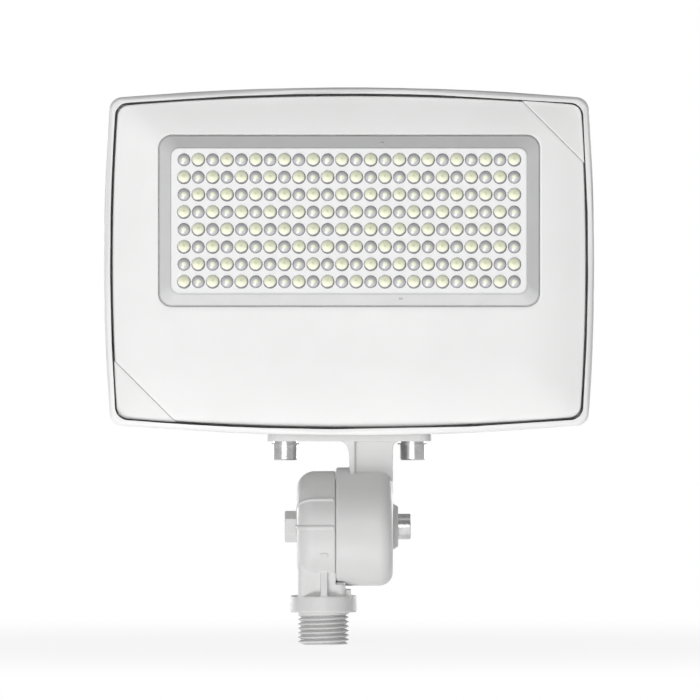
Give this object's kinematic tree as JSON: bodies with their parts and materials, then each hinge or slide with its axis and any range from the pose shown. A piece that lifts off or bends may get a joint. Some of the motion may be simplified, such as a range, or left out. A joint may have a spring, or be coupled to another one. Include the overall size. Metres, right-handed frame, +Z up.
{
  "type": "led flood light",
  "caption": "Bow-sided LED flood light with a lenslet window and pull-off corner caps, on a tilting knuckle with a threaded conduit nipple.",
  "frame": {"origin": "centre of the collar's underside, on the axis of the threaded nipple", "axes": "+Z up along the nipple's axis towards the head; the nipple points down along -Z; the lit face looks along -Y; +X is to the right seen from the front, along the tilt axis"},
  "size_m": [0.1988, 0.0581, 0.2262],
  "materials": {
    "paint": "white powder coat on die-cast aluminium",
    "cap": "white moulded plastic, matt",
    "steel": "bright stainless steel",
    "seal": "dark silicone rubber",
    "lens": "clear moulded polycarbonate",
    "board": "white solder mask on an aluminium board",
    "warm_led": "LED package with warm phosphor",
    "cool_led": "LED package with cool phosphor",
    "pad": "soft thermal pad",
    "lead": "silicone covered two-core lead",
    "driver_metal": "bare aluminium sheet",
    "circuit": "circuit board with its components",
    "connector": "moulded connector",
    "ground": "plated earth screw",
    "vent": "moulded vent cap",
    "switch": "black switch body",
    "slider": "white slide knobs"
  },
  "bodies": {
    "base": {"knuckle_base": "paint", "knuckle_insert": "steel", "knuckle_seal": "seal"},
    "head": {"knuckle_arm": "paint", "knuckle_washer": "steel", "foot_screws": "steel", "foot_washers": "steel", "foot_spring_washers": "steel", "rear_housing": "paint", "front_bezel": "paint", "bezel_screws": "steel", "perimeter_gasket": "seal", "lens_panel": "lens", "lens_gasket": "seal", "led_board": "board", "warm_leds": "warm_led", "cool_leds": "cool_led", "board_screws": "steel", "thermal_pad": "pad", "board_lead": "lead", "driver_case": "driver_metal", "driver_lid": "driver_metal", "driver_board": "circuit", "driver_terminal": "connector", "driver_screws": "steel", "ground_screw": "ground", "vent_plug": "vent", "wire_grommet": "seal", "selector_switch": "switch"},
    "clamp_bolt": {"knuckle_bolt": "steel"},
    "upper_cap": {"corner_cap_upper": "cap"},
    "lower_cap": {"corner_cap_lower": "cap"},
    "power_switch": {"power_slider": "slider"},
    "colour_switch": {"colour_slider": "slider"}
  },
  "joints": [
    {"name": "knuckle_tilt", "type": "hinge", "parent": "base", "child": "head", "pos_m": [0, 0, 0.0349], "axis": [1, 0, 0], "range_deg": [-90, 90]},
    {"name": "clamp_turn", "type": "hinge", "parent": "base", "child": "clamp_bolt", "pos_m": [0, 0, 0.0349], "axis": [1, 0, 0], "continuous": true},
    {"name": "upper_cap_pull", "type": "slide", "parent": "head", "child": "upper_cap", "axis": [0, -1, 0], "range_m": [0, 0.02]},
    {"name": "lower_cap_pull", "type": "slide", "parent": "head", "child": "lower_cap", "axis": [0, -1, 0], "range_m": [0, 0.02]},
    {"name": "power_slide", "type": "slide", "parent": "head", "child": "power_switch", "axis": [1, 0, 0], "range_m": [-0.0015, 0.0015]},
    {"name": "colour_slide", "type": "slide", "parent": "head", "child": "colour_switch", "axis": [1, 0, 0], "range_m": [-0.0015, 0.0015]}
  ]
}
